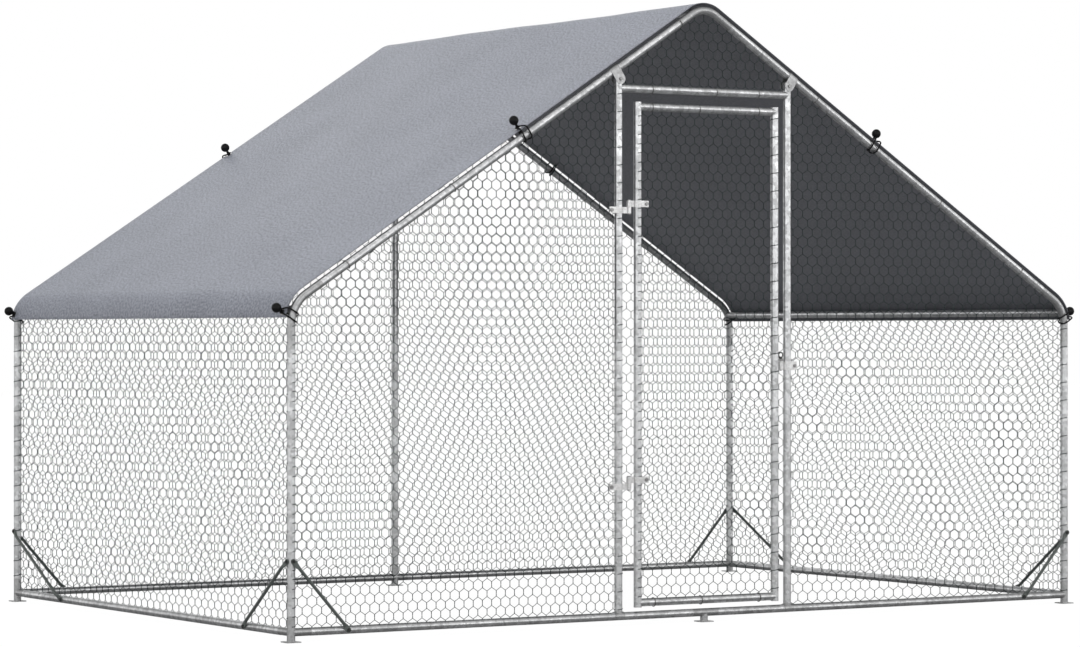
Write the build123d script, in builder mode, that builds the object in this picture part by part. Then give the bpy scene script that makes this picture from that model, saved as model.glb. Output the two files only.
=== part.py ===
from build123d import *
import os
from math import asin, atan2, cos, degrees, pi, radians, sin, sqrt, tan

# Walk-in poultry coop of galvanised tube, in millimetres.
# X runs along the front, the door is in the front at -Y, and Z is up.
# The origin is on the ground in the middle.

# Tube, and the fittings that push into it
tube_od = 25.0
tube_wall = 1.0
spigot_gap = 0.1
spigot_wall = 1.0
spigot_length = 40.0

# Frame, measured between the tubes' centre lines
frame_width = 2970.0
frame_depth = 1970.0
rail_height = 30.0
eave_height = 1000.0
ridge_height = 1956.0
eave_bend_radius = 110.0
ridge_bend_radius = 80.0
# How far up the eave bend the eave rail joins it, in degrees
eave_rail_turn = 24.5

# How far each fitting's arm reaches from the point where the centre lines meet
base_arm = 64.0
base_post_arm = 48.0
tee_arm = 48.0
eave_leg = 133.0
eave_arm = 120.0
ridge_arm = 119.0
purlin_arm = 64.0
back_post_arm = 48.0
# Each arm is this much thinner all round than the run it is welded to.
weld_step = 0.3

# Foot plates
foot_width = 48.0
foot_thickness = 3.0
foot_corner = 5.0

# Door opening and door
door_post_offset = 325.5
header_height = 1683.0
post_to_hinge = 39.5
hinge_to_stile = 33.0
latch_stile_gap = 49.5
door_bottom = 55.0
door_top = 1642.0
door_rail_inset = 15.0
weld_gap = 0.1

# Straps clamped round the tubes, and their bolts
strap_thickness = 2.0
strap_gap = 0.2
strap_web = 4.0
post_tail_reach = 42.0
door_tail_reach = 32.0
latch_tail_reach = 28.0
tail_slit = 1.0
tail_bolt_inset = 8.0
bolt_od = 6.0
bolt_head_af = 10.0
bolt_head_height = 4.0
nut_height = 5.0
bolt_hole_gap = 0.2
bolt_end = 1.5
nut_gap = 0.1

# Hinges
hinge_heights = (445.0, 1311.0)
hinge_strap_height = 20.0
hinge_split = 0.5
knuckle_od = 16.0
pin_od = 8.0
pin_gap = 0.05
pin_head_od = 12.0
pin_head_height = 2.5
pin_head_gap = 0.2

# Latch: a pin that drops through the door's eye into the post's strap
latch_height = 825.0
latch_strap_height = 28.0
latch_eye_thickness = 7.0
latch_eye_web = 9.0
latch_eye_gap = 1.5
latch_socket_gap = 0.6
latch_collar_od = 13.0
latch_collar_height = 3.0
latch_collar_gap = 0.3
latch_pin_below = 2.0
latch_ring_radius = 8.0
latch_ring_wire = 4.0
latch_ring_sink = 1.0
pin_tip_chamfer = 1.5

# Saddles that hold the door posts to the arch and to the base rail
saddle_width = 34.0
saddle_leg = 46.0
saddle_corner = 16.0
saddle_bolt_drop = 35.0
base_saddle_width = 34.0
base_saddle_skirt = 4.0
base_saddle_collar = 3.0
post_top_gap = 1.0

# Corner braces
brace_top = 240.0
end_brace_run = 187.0
front_side_brace_run = 278.0
back_side_brace_run = 380.0
brace_od = 10.0
brace_tab_width = 16.0
brace_tab_thickness = 3.0
brace_tab_length = 14.0
brace_taper = 14.0
brace_seat_gap = 0.3
screw_od = 5.0
screw_head_od = 11.0
screw_head_height = 3.0
screw_depth = 7.0
screw_hole_gap = 0.15

# Wire nets, each one holed face
net_strand = 2.4
net_thickness = 2.0
net_gap = 0.3
wall_net_pitch = 110.0
door_net_pitch = 72.0
smallest_gap_share = 0.12
shortest_gap_edge = 1.0
wall_net_corner = 30.0

# Roof cover
cover_gap = 10.0
cover_thickness = 1.5
cover_hem_height = 962.0
cover_overhang = 5.0

# Ball bungees and the cover's eyelets
cord_od = 5.0
cord_gap = 1.8
cord_spacing = 5.4
cord_ball_inset = 3.0
cord_edge_radius = 8.0
ball_od = 30.0
rafter_neck = 14.0
eave_neck = 8.5
rafter_bungee_offset = 670.0
# How far up the eave bend its bungee goes round the tube,
# and how much steeper it rises to its ball than the bend's own radius, in degrees
eave_bungee_turn = 13.9
eave_bungee_tilt = 15.6
eyelet_bore = 12.8
eyelet_wall = 1.2
eyelet_flange = 20.0
eyelet_flange_thickness = 1.0
eyelet_gap = 0.6
eyelet_hole_gap = 0.2

# Sizes that follow from those above
tube_r = tube_od / 2
spigot_r = tube_r - tube_wall - spigot_gap
fitting_bore_r = spigot_r - spigot_wall
half_width = frame_width / 2
half_depth = frame_depth / 2
front_y = -half_depth
roof_slope = atan2(ridge_height - eave_height, half_width)
roof_rise = tan(roof_slope)
eave_turn = pi / 2 - roof_slope
eave_tangent = eave_bend_radius * tan(eave_turn / 2)
ridge_tangent = ridge_bend_radius * tan(roof_slope)
bend_start = eave_height - eave_tangent
bend_centre_offset = half_width - eave_bend_radius
ridge_bend_centre = ridge_height - ridge_bend_radius / cos(roof_slope)
ridge_purlin_height = ridge_bend_centre + ridge_bend_radius
eave_purlin_offset = bend_centre_offset + eave_bend_radius * cos(radians(eave_rail_turn))
eave_purlin_height = bend_start + eave_bend_radius * sin(radians(eave_rail_turn))

strap_inner_r = tube_r + strap_gap
strap_outer_r = strap_inner_r + strap_thickness
tail_depth = 2 * strap_thickness + tail_slit
bolt_r = bolt_od / 2
bolt_hole_r = bolt_r + bolt_hole_gap
screw_r = screw_od / 2
screw_hole_r = screw_r + screw_hole_gap
pin_r = pin_od / 2
knuckle_r = knuckle_od / 2

hinge_x = -door_post_offset + post_to_hinge
hinge_stile_x = hinge_x + hinge_to_stile
latch_stile_x = door_post_offset - latch_stile_gap
latch_x = (latch_stile_x + door_post_offset) / 2
door_bottom_rail = door_bottom + door_rail_inset
door_top_rail = door_top - door_rail_inset

cord_r = cord_od / 2
ball_r = ball_od / 2
cord_wrap_r = tube_r + cord_gap + cord_r
cover_inner = tube_r + cover_gap
cover_outer = cover_inner + cover_thickness
eyelet_barrel_r = eyelet_bore / 2 + eyelet_wall
eyelet_rise = cover_thickness + eyelet_gap + eyelet_flange_thickness

# A net stops clear of the straps on posts and rails, and clear of the cords round the rafters.
net_edge = strap_outer_r + net_gap
rafter_net_edge = cord_wrap_r + cord_r + net_gap
brace_seat = tube_r + brace_seat_gap

BASE = (Align.CENTER, Align.CENTER, Align.MIN)
SIDES = {"left": -1, "right": 1}
ENDS = {"front": -1, "back": 1}
SIDE_BRACE_RUNS = {"front": front_side_brace_run, "back": back_side_brace_run}
UP = Vector(0, 0, 1)


def keep(part, label):
    """Names a finished piece and writes it."""
    part.label = label
    export_step(part, f"parts/{label}.step")


def rafter_height(offset):
    """Height of the rafter's centre line at a distance from the middle of the coop."""
    return ridge_height - offset * roof_rise


def straight_tube(start, end, holes=(), coped_by=()):
    """A tube between two points, with cross holes and with ends coped to other tubes.

    holes are (point on the axis, direction out of the tube, radius), coped_by are (point, direction).
    """
    run = end - start
    with BuildPart() as tube:
        with BuildSketch(Plane(start, z_dir=run)):
            Circle(tube_r)
            Circle(tube_r - tube_wall, mode=Mode.SUBTRACT)
        extrude(amount=run.length)
        for point, direction, radius in holes:
            with Locations(Plane(point, z_dir=direction)):
                Cylinder(radius, tube_od, align=BASE, mode=Mode.SUBTRACT)
        for point, direction in coped_by:
            with Locations(Plane(point, z_dir=direction)):
                Cylinder(tube_r + weld_gap, 2 * tube_od, mode=Mode.SUBTRACT)
    return tube.part


def base_fitting(x, y, runs, post_arm):
    """A ground fitting: a foot plate and runs of tube through its centre, with a spigot on every open end.

    runs lists the arms' directions and reaches, run by run, the thickest run first. The upright run is None.
    """
    centre = Vector(x, y, rail_height)
    stub = rail_height - foot_thickness
    with BuildPart() as fitting:
        with BuildSketch(Plane((x, y, 0))):
            RectangleRounded(foot_width, foot_width, foot_corner)
        extrude(amount=foot_thickness)
        for step, run in enumerate(runs):
            arm_r = tube_r - step * weld_step
            if run is None:
                with Locations((x, y, foot_thickness)):
                    Cylinder(arm_r, stub + post_arm, align=BASE)
                    if post_arm:
                        Cylinder(spigot_r, stub + post_arm + spigot_length, align=BASE)
                continue
            for direction, reach in run:
                with Locations(Plane(centre, z_dir=direction)):
                    Cylinder(arm_r, reach, align=BASE)
                    Cylinder(spigot_r, reach + spigot_length, align=BASE)
        for step, run in enumerate(runs):
            bore_r = fitting_bore_r - step * weld_step
            if run is None:
                with Locations((x, y, foot_thickness)):
                    bore_length = stub + post_arm + spigot_length if post_arm else stub
                    Cylinder(bore_r, bore_length, align=BASE, mode=Mode.SUBTRACT)
                continue
            for direction, reach in run:
                with Locations(Plane(centre, z_dir=direction)):
                    Cylinder(bore_r, reach + spigot_length, align=BASE, mode=Mode.SUBTRACT)
    return fitting.part


def arch_fitting(start, corner, tip, bend_radius, arms):
    """A bent fitting of the arch, with spigots on both ends and side arms with spigots of their own.

    arms are (point on the bend, direction, reach).
    """
    start_out = (start - corner).normalized()
    tip_out = (tip - corner).normalized()
    bore_start = start + start_out * spigot_length
    bore_tip = tip + tip_out * spigot_length
    with BuildPart() as fitting:
        with BuildLine():
            FilletPolyline(start, corner, tip, radius=bend_radius)
        with BuildSketch(Plane(start, z_dir=-start_out)):
            Circle(tube_r)
        sweep()
        for point, direction in ((start, start_out), (tip, tip_out)):
            with Locations(Plane(point, z_dir=direction)):
                Cylinder(spigot_r, spigot_length, align=BASE)
        for step, (point, direction, reach) in enumerate(arms, 1):
            with Locations(Plane(point, z_dir=direction)):
                Cylinder(tube_r - step * weld_step, reach, align=BASE)
                Cylinder(spigot_r, reach + spigot_length, align=BASE)
        with BuildLine():
            FilletPolyline(bore_start, corner, bore_tip, radius=bend_radius)
        with BuildSketch(Plane(bore_start, z_dir=-start_out)):
            Circle(fitting_bore_r)
        sweep(mode=Mode.SUBTRACT)
        for step, (point, direction, reach) in enumerate(arms, 1):
            with Locations(Plane(point, z_dir=direction)):
                bore_r = fitting_bore_r - step * weld_step
                Cylinder(bore_r, reach + spigot_length, align=BASE, mode=Mode.SUBTRACT)
    return fitting.part


def tube_strap(tube_x, knuckle_x, bottom, height, bore_r, tail_reach):
    """A strap round an upright tube, with a knuckle on one side and a bolted tail on the other."""
    way = 1 if knuckle_x > tube_x else -1
    tail_middle = tube_x - way * tail_reach / 2
    with BuildPart() as strap:
        with BuildSketch(Plane((0, 0, bottom))):
            with Locations((tube_x, front_y)):
                Circle(strap_outer_r)
            with Locations((knuckle_x, front_y)):
                Circle(knuckle_r)
            with Locations(((tube_x + knuckle_x) / 2, front_y)):
                Rectangle(abs(knuckle_x - tube_x), strap_web)
            with Locations((tail_middle, front_y - strap_outer_r + tail_depth / 2)):
                Rectangle(tail_reach, tail_depth)
            with Locations((tube_x, front_y)):
                Circle(strap_inner_r, mode=Mode.SUBTRACT)
            with Locations((knuckle_x, front_y)):
                Circle(bore_r, mode=Mode.SUBTRACT)
            with Locations((tail_middle, front_y - strap_inner_r + tail_slit / 2)):
                Rectangle(tail_reach, tail_slit, mode=Mode.SUBTRACT)
        extrude(amount=height)
        with Locations(tail_bolt_plane(tube_x, way, bottom + height / 2, tail_reach)):
            Cylinder(bolt_hole_r, 2 * tail_depth, mode=Mode.SUBTRACT)
    return strap.part


def tail_bolt_plane(tube_x, way, height, tail_reach):
    """Where the bolt of a strap's tail sits: under its head, facing out of the front."""
    x = tube_x - way * (tail_reach - tail_bolt_inset)
    return Plane((x, front_y - strap_outer_r, height), z_dir=(0, -1, 0))


def hex_bolt(grip):
    """A bolt and its nut, with the head's underside at the origin and the shank along -Z."""
    with BuildPart() as bolt:
        with BuildSketch():
            RegularPolygon(bolt_head_af / 2, 6, major_radius=False)
        extrude(amount=bolt_head_height)
        with BuildSketch():
            Circle(bolt_r)
        extrude(amount=-(grip + nut_height + bolt_end))
        with BuildSketch(Plane.XY.offset(-grip)):
            RegularPolygon(bolt_head_af / 2, 6, major_radius=False)
            Circle(bolt_r + nut_gap, mode=Mode.SUBTRACT)
        extrude(amount=-nut_height)
    return bolt.part


def tapping_screw():
    """A screw through a brace's tab and one tube wall, with the head's underside at the origin."""
    with BuildPart() as screw:
        with BuildSketch():
            RegularPolygon(screw_head_od / 2, 6)
        extrude(amount=screw_head_height)
        with BuildSketch():
            Circle(screw_r)
        extrude(amount=-(brace_tab_thickness + brace_seat_gap + screw_depth))
    return screw.part


def brace(top, low, outward):
    """A round rod whose ends are pressed flat and screwed to the outside of a post and a rail."""
    run = low - top
    seat = Plane(top + outward * brace_seat, x_dir=run, z_dir=outward)
    rod_end = brace_tab_length + brace_taper
    with BuildPart() as rod:
        with BuildSketch(seat):
            for x, way in ((0, 1), (run.length, -1)):
                with Locations((x, 0)):
                    Circle(brace_tab_width / 2)
                with Locations((x + way * brace_tab_length / 2, 0)):
                    Rectangle(brace_tab_length, brace_tab_width)
            with Locations((0, 0), (run.length, 0)):
                Circle(screw_hole_r, mode=Mode.SUBTRACT)
        extrude(amount=brace_tab_thickness)
        far_tab = run.length - brace_tab_length
        far_rod = run.length - rod_end
        for flat, full in ((brace_tab_length, rod_end), (far_tab, far_rod)):
            flat_middle = seat.from_local_coords(Vector(flat, 0, brace_tab_thickness / 2))
            full_middle = seat.from_local_coords(Vector(full, 0, brace_od / 2))
            with BuildSketch(Plane(flat_middle, x_dir=seat.y_dir, z_dir=seat.x_dir)):
                Rectangle(brace_tab_width, brace_tab_thickness)
            with BuildSketch(Plane(full_middle, x_dir=seat.y_dir, z_dir=seat.x_dir)):
                Circle(brace_od / 2)
            loft()
        rod_start = seat.from_local_coords(Vector(rod_end, 0, brace_od / 2))
        with BuildSketch(Plane(rod_start, x_dir=seat.y_dir, z_dir=seat.x_dir)):
            Circle(brace_od / 2)
        extrude(amount=run.length - 2 * rod_end)
    return rod.part


def trimmed(points, outline, margin):
    """What is left of a convex gap inside a convex outline, a margin away from the outline's edges."""
    for here, there in zip(outline, outline[1:] + outline[:1]):
        edge = Vector(*there) - Vector(*here)
        inward = Vector(-edge.Y, edge.X).normalized()
        depths = [(Vector(*p) - Vector(*here)).dot(inward) - margin for p in points]
        left = []
        for i, point in enumerate(points):
            after = (i + 1) % len(points)
            if depths[i] >= 0:
                left.append(point)
            if depths[i] * depths[after] < 0:
                share = depths[i] / (depths[i] - depths[after])
                step = (Vector(*points[after]) - Vector(*point)) * share
                left.append((point[0] + step.X, point[1] + step.Y))
        points = left
        if not points:
            break
    spaced = []
    for i, point in enumerate(points):
        if (Vector(*point) - Vector(*points[i - 1])).length > shortest_gap_edge:
            spaced.append(point)
    return spaced


def area_of(points):
    """Area of a flat shape, from its corners."""
    pairs = zip(points, points[1:] + points[:1])
    return abs(sum(a[0] * b[1] - b[0] * a[1] for a, b in pairs)) / 2


def hex_net(plane, outline, pitch):
    """A flat net of six-sided gaps inside an outline, whose corners run anticlockwise."""
    flat = pitch - net_strand
    radius = flat / sqrt(3)
    row_pitch = pitch * sqrt(3) / 2
    low_u = min(u for u, v in outline)
    high_u = max(u for u, v in outline)
    low_v = min(v for u, v in outline)
    high_v = max(v for u, v in outline)
    middle_u = (low_u + high_u) / 2
    columns = int((high_u - low_u) / pitch / 2) + 2
    rows = int((high_v - low_v) / row_pitch) + 2
    whole_gap = area_of([(radius * cos(k * pi / 3), radius * sin(k * pi / 3)) for k in range(6)])
    gaps = []
    for row in range(rows):
        v = low_v + row * row_pitch
        for column in range(-columns, columns + 1):
            u = middle_u + (column + (row % 2) / 2) * pitch
            corners = [pi / 6 + k * pi / 3 for k in range(6)]
            gap = trimmed([(u + radius * cos(t), v + radius * sin(t)) for t in corners], outline, net_strand)
            if len(gap) > 2 and area_of(gap) > smallest_gap_share * whole_gap:
                gaps.append(Wire.make_polygon([Vector(*p) for p in gap]))
    holed = Face(Wire.make_polygon([Vector(*p) for p in outline]), gaps)
    with BuildPart() as net:
        with BuildSketch(plane.offset(-net_thickness / 2)):
            add(holed)
        extrude(amount=net_thickness)
    return net.part


os.makedirs("parts", exist_ok=True)

# Ground fittings, base rails and posts
for end, end_sign in ENDS.items():
    y = end_sign * half_depth
    for side, side_sign in SIDES.items():
        x = side_sign * half_width
        end_run = [(Vector(-side_sign, 0, 0), base_arm)]
        side_run = [(Vector(0, -end_sign, 0), base_arm)]
        keep(base_fitting(x, y, [None, end_run, side_run], base_post_arm), f"base_corner_{end}_{side}")
    tee_run = [(Vector(1, 0, 0), tee_arm), (Vector(-1, 0, 0), tee_arm)]
    tee_post_arm = base_post_arm if end == "back" else 0
    keep(base_fitting(0, y, [tee_run, None], tee_post_arm), f"base_tee_{end}")

for end, end_sign in ENDS.items():
    y = end_sign * half_depth
    with BuildPart() as end_rails:
        for side_sign in SIDES.values():
            outer = Vector(side_sign * (half_width - base_arm), y, rail_height)
            inner = Vector(side_sign * tee_arm, y, rail_height)
            screw_point = Vector(side_sign * (half_width - end_brace_run), y, rail_height)
            add(straight_tube(outer, inner, [(screw_point, Vector(0, end_sign, 0), screw_hole_r)]))
    keep(end_rails.part, f"base_rails_{end}")

for side, side_sign in SIDES.items():
    x = side_sign * half_width
    reach = half_depth - base_arm
    side_holes = []
    for end, end_sign in ENDS.items():
        screw_point = Vector(x, end_sign * (half_depth - SIDE_BRACE_RUNS[end]), rail_height)
        side_holes.append((screw_point, Vector(side_sign, 0, 0), screw_hole_r))
    side_rail = straight_tube(Vector(x, -reach, rail_height), Vector(x, reach, rail_height), side_holes)
    keep(side_rail, f"base_rail_{side}")
    for end, end_sign in ENDS.items():
        y = end_sign * half_depth
        brace_point = Vector(x, y, brace_top)
        post_holes = [
            (brace_point, Vector(0, end_sign, 0), screw_hole_r),
            (brace_point, Vector(side_sign, 0, 0), screw_hole_r),
        ]
        foot = Vector(x, y, rail_height + base_post_arm)
        head = Vector(x, y, eave_height - eave_leg)
        keep(straight_tube(foot, head, post_holes), f"corner_post_{end}_{side}")

# Arches, purlins and the back post
for end, end_sign in ENDS.items():
    y = end_sign * half_depth
    inward = Vector(0, -end_sign, 0)
    with BuildPart() as rafters:
        for side, side_sign in SIDES.items():
            corner = Vector(side_sign * half_width, y, eave_height)
            up_slope = Vector(-side_sign * cos(roof_slope), 0, sin(roof_slope))
            foot = corner - UP * eave_leg
            purlin_point = Vector(side_sign * eave_purlin_offset, y, eave_purlin_height)
            tip = corner + up_slope * eave_arm
            elbow = arch_fitting(foot, corner, tip, eave_bend_radius, [(purlin_point, inward, purlin_arm)])
            keep(elbow, f"eave_elbow_{end}_{side}")
            ridge_point = Vector(0, y, ridge_height)
            add(straight_tube(tip, ridge_point - up_slope * ridge_arm))
    keep(rafters.part, f"rafters_{end}")
    left_down = Vector(-cos(roof_slope), 0, -sin(roof_slope))
    right_down = Vector(cos(roof_slope), 0, -sin(roof_slope))
    crown = Vector(0, y, ridge_purlin_height)
    crown_arms = [(crown, inward, purlin_arm)]
    if end == "back":
        crown_arms.append((crown, -UP, tube_r + back_post_arm))
    ridge_point = Vector(0, y, ridge_height)
    ridge_left = ridge_point + left_down * ridge_arm
    ridge_right = ridge_point + right_down * ridge_arm
    ridge_elbow = arch_fitting(ridge_left, ridge_point, ridge_right, ridge_bend_radius, crown_arms)
    keep(ridge_elbow, f"ridge_elbow_{end}")

purlin_reach = half_depth - purlin_arm
for side, side_sign in SIDES.items():
    purlin_start = Vector(side_sign * eave_purlin_offset, -purlin_reach, eave_purlin_height)
    purlin_end = Vector(side_sign * eave_purlin_offset, purlin_reach, eave_purlin_height)
    keep(straight_tube(purlin_start, purlin_end), f"eave_rail_{side}")
ridge_start = Vector(0, -purlin_reach, ridge_purlin_height)
ridge_end = Vector(0, purlin_reach, ridge_purlin_height)
keep(straight_tube(ridge_start, ridge_end), "ridge_rail")
back_post_foot = Vector(0, half_depth, rail_height + base_post_arm)
back_post_head = Vector(0, half_depth, ridge_purlin_height - tube_r - back_post_arm)
keep(straight_tube(back_post_foot, back_post_head), "back_post")

# Door posts, header and the saddles that hold the posts
rafter_at_post = rafter_height(door_post_offset)
post_bolt_height = rafter_at_post - saddle_bolt_drop
post_top = rafter_height(door_post_offset + tube_r) - tube_r / cos(roof_slope) - post_top_gap
post_bottom = rail_height + strap_outer_r + base_saddle_collar
for side, side_sign in SIDES.items():
    x = side_sign * door_post_offset
    bolt_point = Vector(x, front_y, post_bolt_height)
    bolt_holes = [(bolt_point, Vector(0, way, 0), bolt_hole_r) for way in (1, -1)]
    post = straight_tube(Vector(x, front_y, post_bottom), Vector(x, front_y, post_top), bolt_holes)
    keep(post, f"door_post_{side}")

header_ends = [Vector(sign * door_post_offset, front_y, header_height) for sign in SIDES.values()]
keep(straight_tube(*header_ends, coped_by=[(point, UP) for point in header_ends]), "door_header")

with BuildPart() as top_saddles:
    for side_sign in SIDES.values():
        bolt_point = Vector(side_sign * door_post_offset, front_y, post_bolt_height)
        off_roof = Vector(side_sign * sin(roof_slope), 0, cos(roof_slope))
        along_rafter = Vector(cos(roof_slope), 0, -side_sign * sin(roof_slope))
        saddle_centre = bolt_point + off_roof * saddle_bolt_drop * cos(roof_slope)
        with BuildSketch(Plane(saddle_centre, x_dir=(0, 1, 0), z_dir=along_rafter)):
            with BuildLine():
                Line((strap_outer_r, -saddle_leg), (strap_outer_r, 0))
                CenterArc((0, 0), strap_outer_r, 0, 180)
                Polyline((-strap_outer_r, 0), (-strap_outer_r, -saddle_leg), (-strap_inner_r, -saddle_leg))
                Line((-strap_inner_r, -saddle_leg), (-strap_inner_r, 0))
                CenterArc((0, 0), strap_inner_r, 0, 180)
                Polyline((strap_inner_r, 0), (strap_inner_r, -saddle_leg), (strap_outer_r, -saddle_leg))
            make_face()
        extrude(amount=saddle_width / 2, both=True)
    fillet(top_saddles.edges().filter_by(Axis.Y), saddle_corner)
    for side_sign in SIDES.values():
        with Locations(Plane((side_sign * door_post_offset, front_y, post_bolt_height), z_dir=(0, 1, 0))):
            Cylinder(bolt_hole_r, 2 * tube_od, mode=Mode.SUBTRACT)
keep(top_saddles.part, "door_post_top_saddles")

with BuildPart() as base_saddles:
    for side_sign in SIDES.values():
        x = side_sign * door_post_offset
        with Locations(Plane((x, front_y, rail_height), z_dir=(1, 0, 0))):
            Cylinder(strap_outer_r, base_saddle_width)
        with Locations((x, front_y, rail_height)):
            Cylinder(tube_r, post_bottom - rail_height, align=BASE)
            Cylinder(spigot_r, post_bottom - rail_height + spigot_length, align=BASE)
        with Locations(Plane((x, front_y, rail_height), z_dir=(1, 0, 0))):
            Cylinder(strap_inner_r, base_saddle_width, mode=Mode.SUBTRACT)
        with Locations((x, front_y, rail_height - base_saddle_skirt)):
            Box(
                base_saddle_width,
                2 * strap_outer_r,
                strap_outer_r,
                align=(Align.CENTER, Align.CENTER, Align.MAX),
                mode=Mode.SUBTRACT,
            )
keep(base_saddles.part, "door_post_base_saddles")

# Corner braces: one on the end wall and one on the side wall at each corner
screw_planes = []
brace_outside = brace_seat + brace_tab_thickness
with BuildPart() as end_braces:
    for end_sign in ENDS.values():
        for side_sign in SIDES.values():
            outward = Vector(0, end_sign, 0)
            top = Vector(side_sign * half_width, end_sign * half_depth, brace_top)
            low = Vector(side_sign * (half_width - end_brace_run), end_sign * half_depth, rail_height)
            add(brace(top, low, outward))
            for point in (top, low):
                screw_planes.append(Plane(point + outward * brace_outside, z_dir=outward))
keep(end_braces.part, "end_braces")

with BuildPart() as side_braces:
    for end, end_sign in ENDS.items():
        for side_sign in SIDES.values():
            outward = Vector(side_sign, 0, 0)
            top = Vector(side_sign * half_width, end_sign * half_depth, brace_top)
            low_y = end_sign * (half_depth - SIDE_BRACE_RUNS[end])
            low = Vector(side_sign * half_width, low_y, rail_height)
            add(brace(top, low, outward))
            for point in (top, low):
                screw_planes.append(Plane(point + outward * brace_outside, z_dir=outward))
keep(side_braces.part, "side_braces")

with BuildPart() as brace_screws:
    screw = tapping_screw()
    with Locations(*screw_planes):
        add(screw)
keep(brace_screws.part, "brace_screws")

# Door frame
for side, x in (("hinge", hinge_stile_x), ("latch", latch_stile_x)):
    keep(straight_tube(Vector(x, front_y, door_bottom), Vector(x, front_y, door_top)), f"door_stile_{side}")
with BuildPart() as door_rails:
    for height in (door_bottom_rail, door_top_rail):
        rail_ends = [Vector(x, front_y, height) for x in (hinge_stile_x, latch_stile_x)]
        add(straight_tube(*rail_ends, coped_by=[(point, UP) for point in rail_ends]))
keep(door_rails.part, "door_rails")

# Hinges: the post's knuckle is below, the door's knuckle turns on the same pin above it
with BuildPart() as hinge_post_straps:
    for height in hinge_heights:
        bottom = height - hinge_strap_height
        strap = tube_strap(
            -door_post_offset, hinge_x, bottom, hinge_strap_height, pin_r + pin_gap, post_tail_reach
        )
        add(strap)
keep(hinge_post_straps.part, "hinge_post_straps")

with BuildPart() as hinge_door_straps:
    for height in hinge_heights:
        bottom = height + hinge_split
        strap = tube_strap(
            hinge_stile_x, hinge_x, bottom, hinge_strap_height, pin_r + pin_gap, door_tail_reach
        )
        add(strap)
keep(hinge_door_straps.part, "hinge_door_straps")

with BuildPart() as hinge_pins:
    for height in hinge_heights:
        low_face = height - hinge_strap_height - pin_head_gap
        high_face = height + hinge_split + hinge_strap_height + pin_head_gap
        with Locations((hinge_x, front_y, low_face)):
            Cylinder(pin_r, high_face - low_face, align=BASE)
        with Locations((hinge_x, front_y, low_face - pin_head_height), (hinge_x, front_y, high_face)):
            Cylinder(pin_head_od / 2, pin_head_height, align=BASE)
keep(hinge_pins.part, "hinge_pins")

# Latch
latch_strap_bottom = latch_height - latch_strap_height
latch_socket_r = pin_r + latch_socket_gap
latch_strap = tube_strap(
    door_post_offset, latch_x, latch_strap_bottom, latch_strap_height, latch_socket_r, latch_tail_reach
)
keep(latch_strap, "latch_post_strap")

eye_bottom = latch_height + latch_eye_gap
eye_top = eye_bottom + latch_eye_thickness
with BuildPart() as latch_eye:
    with BuildSketch(Plane((0, 0, eye_bottom))):
        with Locations((latch_x, front_y)):
            Circle(knuckle_r)
        with Locations(((latch_stile_x + latch_x) / 2, front_y)):
            Rectangle(latch_x - latch_stile_x, latch_eye_web)
        with Locations((latch_stile_x, front_y)):
            Circle(tube_r + weld_gap, mode=Mode.SUBTRACT)
        with Locations((latch_x, front_y)):
            Circle(pin_r + pin_gap, mode=Mode.SUBTRACT)
    extrude(amount=latch_eye_thickness)
keep(latch_eye.part, "latch_eye")

collar_bottom = eye_top + latch_collar_gap
pin_bottom = latch_strap_bottom - latch_pin_below
ring_wire_r = latch_ring_wire / 2
with BuildPart() as latch_pin:
    with Locations((latch_x, front_y, pin_bottom)):
        Cylinder(pin_r, collar_bottom - pin_bottom, align=BASE)
    chamfer(latch_pin.edges().sort_by(Axis.Z)[0], pin_tip_chamfer)
    with Locations((latch_x, front_y, collar_bottom)):
        Cylinder(latch_collar_od / 2, latch_collar_height, align=BASE)
    ring_middle = collar_bottom + latch_collar_height + latch_ring_radius + ring_wire_r - latch_ring_sink
    with Locations(Plane((latch_x, front_y, ring_middle), z_dir=(0, 1, 0))):
        Torus(latch_ring_radius, ring_wire_r)
keep(latch_pin.part, "latch_pin")

# Bolts of the straps and saddles
strap_bolt = hex_bolt(tail_depth)
hinge_middle = hinge_strap_height / 2
with BuildPart() as frame_bolts:
    post_bolt_planes = [
        tail_bolt_plane(-door_post_offset, 1, height - hinge_middle, post_tail_reach)
        for height in hinge_heights
    ]
    latch_middle = latch_height - latch_strap_height / 2
    post_bolt_planes.append(tail_bolt_plane(door_post_offset, -1, latch_middle, latch_tail_reach))
    with Locations(*post_bolt_planes):
        add(strap_bolt)
    saddle_bolt = hex_bolt(2 * strap_outer_r)
    saddle_front = front_y - strap_outer_r
    with Locations(
        *[
            Plane((sign * door_post_offset, saddle_front, post_bolt_height), z_dir=(0, -1, 0))
            for sign in SIDES.values()
        ]
    ):
        add(saddle_bolt)
keep(frame_bolts.part, "frame_bolts")

with BuildPart() as door_bolts:
    door_bolt_planes = [
        tail_bolt_plane(hinge_stile_x, -1, height + hinge_split + hinge_middle, door_tail_reach)
        for height in hinge_heights
    ]
    with Locations(*door_bolt_planes):
        add(strap_bolt)
keep(door_bolts.part, "door_bolts")

# Wire nets
net_side = half_depth - net_edge
net_low = rail_height + net_edge
net_high = eave_purlin_height - net_edge
wall_outline = [
    (-net_side, net_low),
    (net_side, net_low),
    (net_side, net_high - wall_net_corner),
    (net_side - wall_net_corner, net_high),
    (wall_net_corner - net_side, net_high),
    (-net_side, net_high - wall_net_corner),
]
for side, side_sign in SIDES.items():
    wall = Plane((side_sign * half_width, 0, 0), x_dir=(0, 1, 0), z_dir=(1, 0, 0))
    keep(hex_net(wall, wall_outline, wall_net_pitch), f"net_{side}")


def under_rafter(offset):
    """Height of a net's upper edge below the rafter, at a distance from the middle of the coop."""
    return rafter_height(offset) - rafter_net_edge / cos(roof_slope)


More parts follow.
